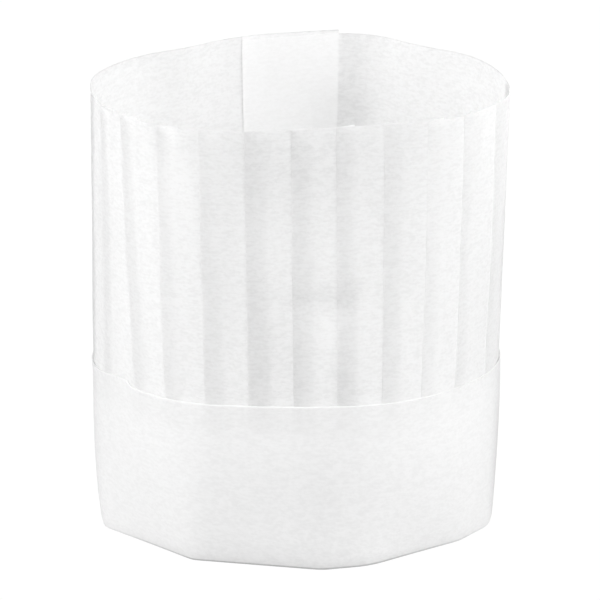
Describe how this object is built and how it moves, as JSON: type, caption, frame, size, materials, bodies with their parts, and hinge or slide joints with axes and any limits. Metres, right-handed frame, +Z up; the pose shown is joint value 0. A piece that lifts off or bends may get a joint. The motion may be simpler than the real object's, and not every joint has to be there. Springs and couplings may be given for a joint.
{
  "type": "pleated paper chef hat",
  "caption": "Tall white disposable chef hat: a knife-pleated paper crown, open at the top and lapped at the back, set in a plain upright headband.",
  "frame": {"origin": "under the middle of the hat's box, on the surface that the hem stands on", "axes": "+Z up through the open top, -Y towards the front, +Y towards the crown's lapped ends"},
  "size_m": [0.2096, 0.217, 0.2279],
  "materials": {
    "crown_paper": "matt white non-woven paper cloth with a fine fibrous mottle",
    "band_paper": "matt white non-woven paper cloth with a fine fibrous mottle"
  },
  "bodies": {
    "root": {"pleated_crown": "crown_paper", "headband": "band_paper"}
  },
  "joints": []
}
